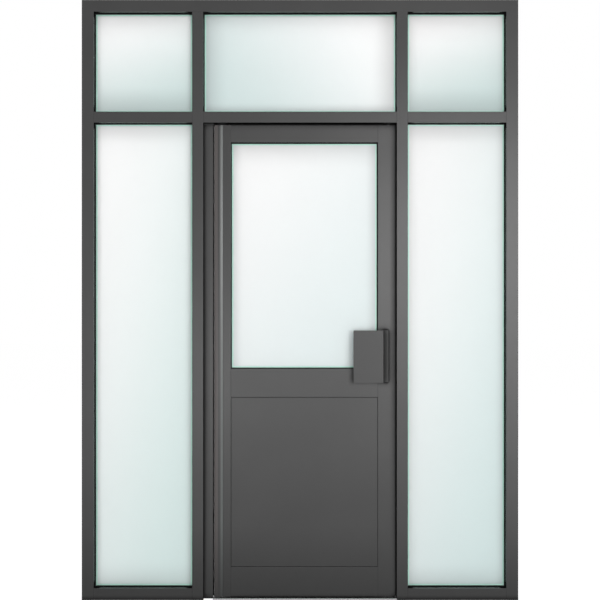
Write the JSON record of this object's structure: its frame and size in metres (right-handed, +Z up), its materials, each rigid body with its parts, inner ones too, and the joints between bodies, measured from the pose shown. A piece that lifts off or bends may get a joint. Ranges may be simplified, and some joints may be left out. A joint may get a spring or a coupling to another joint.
{
  "type": "glazed swing door with frame",
  "caption": "Dark metal-framed swing door with satin glass over a closed lower panel and plate handles, set between fixed side lights and under fixed top lights.",
  "frame": {"origin": "on the floor, in the middle of the frame's width and depth", "axes": "+X to the right along the front, +Y from the front to the rear, +Z up"},
  "size_m": [1.89, 0.16, 2.6],
  "materials": {
    "coated_aluminium": "satin",
    "satin_glass": "satin",
    "gasket_rubber": "matte",
    "brush_pile": "matte",
    "block_plastic": "matte",
    "plain_aluminium": "satin",
    "pivot_steel": "satin",
    "bolt_steel": "satin",
    "core_board": "matte"
  },
  "bodies": {
    "frame": {"beads_side_left": "coated_aluminium", "beads_side_right": "coated_aluminium", "beads_top_left": "coated_aluminium", "beads_top_middle": "coated_aluminium", "beads_top_right": "coated_aluminium", "corner_cleats": "plain_aluminium", "door_head_filler": "coated_aluminium", "floor_plate": "pivot_steel", "floor_spindle": "pivot_steel", "frame_connectors": "plain_aluminium", "frame_setting_blocks": "block_plastic", "gaskets_side_lights": "gasket_rubber", "gaskets_top_lights": "gasket_rubber", "head_rail": "coated_aluminium", "hinge_post": "coated_aluminium", "jamb_left": "coated_aluminium", "jamb_right": "coated_aluminium", "mullion_filler_left": "coated_aluminium", "mullion_filler_right": "coated_aluminium", "mullion_left": "coated_aluminium", "mullion_right": "coated_aluminium", "pane_side_left": "satin_glass", "pane_side_right": "satin_glass", "pane_top_left": "satin_glass", "pane_top_middle": "satin_glass", "pane_top_right": "satin_glass", "sill_left": "coated_aluminium", "sill_right": "coated_aluminium", "threshold": "plain_aluminium", "top_pivot_pin": "pivot_steel", "top_pivot_plate": "bolt_steel", "top_pivot_screws": "pivot_steel", "transom_left": "coated_aluminium", "transom_middle": "coated_aluminium", "transom_right": "coated_aluminium"},
    "leaf": {"hinge_stile": "coated_aluminium", "lock_stile": "coated_aluminium", "top_rail": "coated_aluminium", "mid_rail": "coated_aluminium", "bottom_rail": "coated_aluminium", "leaf_connectors": "plain_aluminium", "leaf_pane": "satin_glass", "leaf_beads": "coated_aluminium", "leaf_gaskets": "gasket_rubber", "leaf_setting_blocks": "block_plastic", "panel_core": "core_board", "panel_front_skin": "coated_aluminium", "panel_rear_skin": "coated_aluminium", "panel_beads": "coated_aluminium", "panel_gaskets": "gasket_rubber", "closer_unit": "pivot_steel", "top_pivot_block": "pivot_steel", "bottom_edge_brush": "brush_pile", "hinge_edge_brush": "brush_pile", "lock_edge_brush": "brush_pile", "top_edge_brush": "brush_pile", "handle_front": "coated_aluminium", "handle_rear": "coated_aluminium", "handle_bolts": "bolt_steel", "handle_covers": "block_plastic"}
  },
  "joints": [
    {"name": "leaf_swing", "type": "hinge", "parent": "frame", "child": "leaf", "pos_m": [-0.34, 0, 0], "axis": [0, 0, 1], "range_deg": [-90, 90], "stiffness_Nm_per_rad": 20}
  ]
}
